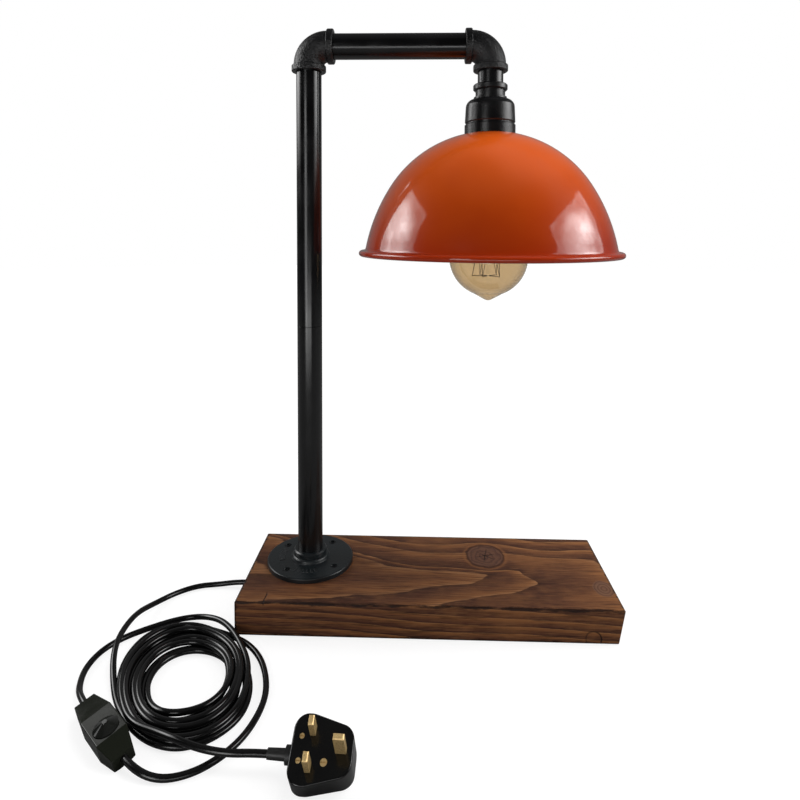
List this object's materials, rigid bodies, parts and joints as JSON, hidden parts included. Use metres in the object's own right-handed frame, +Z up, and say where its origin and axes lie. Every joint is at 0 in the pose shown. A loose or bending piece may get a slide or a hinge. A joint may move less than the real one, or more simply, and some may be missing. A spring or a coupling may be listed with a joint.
{
  "type": "table lamp",
  "caption": "Table lamp of screwed pipe on a plank base, with a swing arm, a tilting dome shade, a globe bulb, and a mains lead with an in-line dimmer and a plug.",
  "frame": {"origin": "middle of the base board's underside, on the table", "axes": "+X along the board and the arm, +Y towards the back, +Z up the riser"},
  "size_m": [0.5171, 0.3976, 0.6148],
  "materials": {
    "stained_pine": "dark stained pine, satin",
    "black_pipe": "satin black powder coat",
    "black_fitting": "black, sand-cast texture",
    "black_reducer": "satin black",
    "black_flange": "black with a cool sheen",
    "black_screw": "black",
    "orange_enamel": "high gloss enamel",
    "zinc_plate": "zinc plated",
    "holder_plastic": "black moulded",
    "ceramic": "glazed ceramic",
    "brass": "plain",
    "solder": "bright",
    "core_insulation": "plain",
    "amber_glass": "smoky amber",
    "clear_glass": "clear",
    "filament_wire": "bare wire",
    "black_cord": "satin",
    "black_rubber": "matt",
    "dimmer_case": "satin",
    "dimmer_dial": "gloss",
    "dimmer_inside": "plain",
    "plug_case": "high gloss",
    "plug_inside": "plain"
  },
  "bodies": {
    "base": {"base_board": "stained_pine", "cable_grommet": "black_rubber", "floor_flange": "black_flange", "flange_screws": "black_screw", "riser_lower": "black_pipe", "riser_joiner": "black_pipe", "riser_upper": "black_pipe", "lead_in_riser": "black_cord", "lamp_lead": "black_cord", "dimmer_lead": "black_cord", "outer_loop": "black_cord", "plug_lead": "black_cord", "cord_coil": "black_cord", "dimmer_base": "dimmer_case", "dimmer_cover": "dimmer_case", "dimmer_control": "dimmer_inside", "dimmer_circuit": "dimmer_inside", "plug_cover": "plug_case", "plug_base": "plug_case", "plug_live_pin": "brass", "plug_neutral_pin": "brass", "plug_earth_pin": "brass", "plug_fuse": "plug_inside", "plug_fuse_clips": "brass", "cord_grip": "plug_inside", "cord_grip_screws": "brass", "cover_screw": "brass", "plug_sleeve": "black_rubber"},
    "swing_arm": {"elbow_left": "black_fitting", "arm_pipe": "black_pipe", "lead_in_arm": "black_cord"},
    "shade_head": {"elbow_right": "black_fitting", "drop_nipple": "black_pipe", "reducing_socket": "black_reducer", "lead_in_head": "black_cord", "holder_bush": "black_reducer", "stem_tube": "zinc_plate", "shade": "orange_enamel", "clamp_washer": "zinc_plate", "clamp_nut": "zinc_plate", "holder_cap": "holder_plastic", "holder_body": "holder_plastic", "contact_block": "ceramic", "thread_sleeve": "brass", "centre_contact": "brass", "terminal_screws": "brass", "holder_cores": "core_insulation"},
    "bulb_carrier": {"bulb_tip": "solder"},
    "bulb": {"bulb_cap": "brass", "bulb_glass": "amber_glass", "bulb_mount": "clear_glass", "filament": "filament_wire"},
    "knob": {"dimmer_knob": "dimmer_dial"}
  },
  "joints": [
    {"name": "arm_swing", "type": "hinge", "parent": "base", "child": "swing_arm", "pos_m": [-0.13, 0.0115, 0.5965], "axis": [0, 0, 1], "range_deg": [-35, 35]},
    {"name": "head_tilt", "type": "hinge", "parent": "swing_arm", "child": "shade_head", "pos_m": [0.0635, 0.0115, 0.5965], "axis": [1, 0, 0], "range_deg": [-30, 30]},
    {"name": "bulb_travel", "type": "slide", "parent": "shade_head", "child": "bulb_carrier", "axis": [0, 0, -1], "range_m": [0, 0.02177]},
    {"name": "bulb_turn", "type": "hinge", "parent": "bulb_carrier", "child": "bulb", "pos_m": [0.0635, 0.0115, 0.3728], "axis": [0, 0, -1], "range_deg": [0, 2160]},
    {"name": "knob_turn", "type": "hinge", "parent": "base", "child": "knob", "pos_m": [-0.25122, -0.20267, 0.01707], "axis": [-0.1364, -0.1569, 0.9781], "range_deg": [0, 280]}
  ],
  "couplings": [
    {"joint": "bulb_travel", "follows": "bulb_turn", "m_per_rad": 0.00057757}
  ]
}
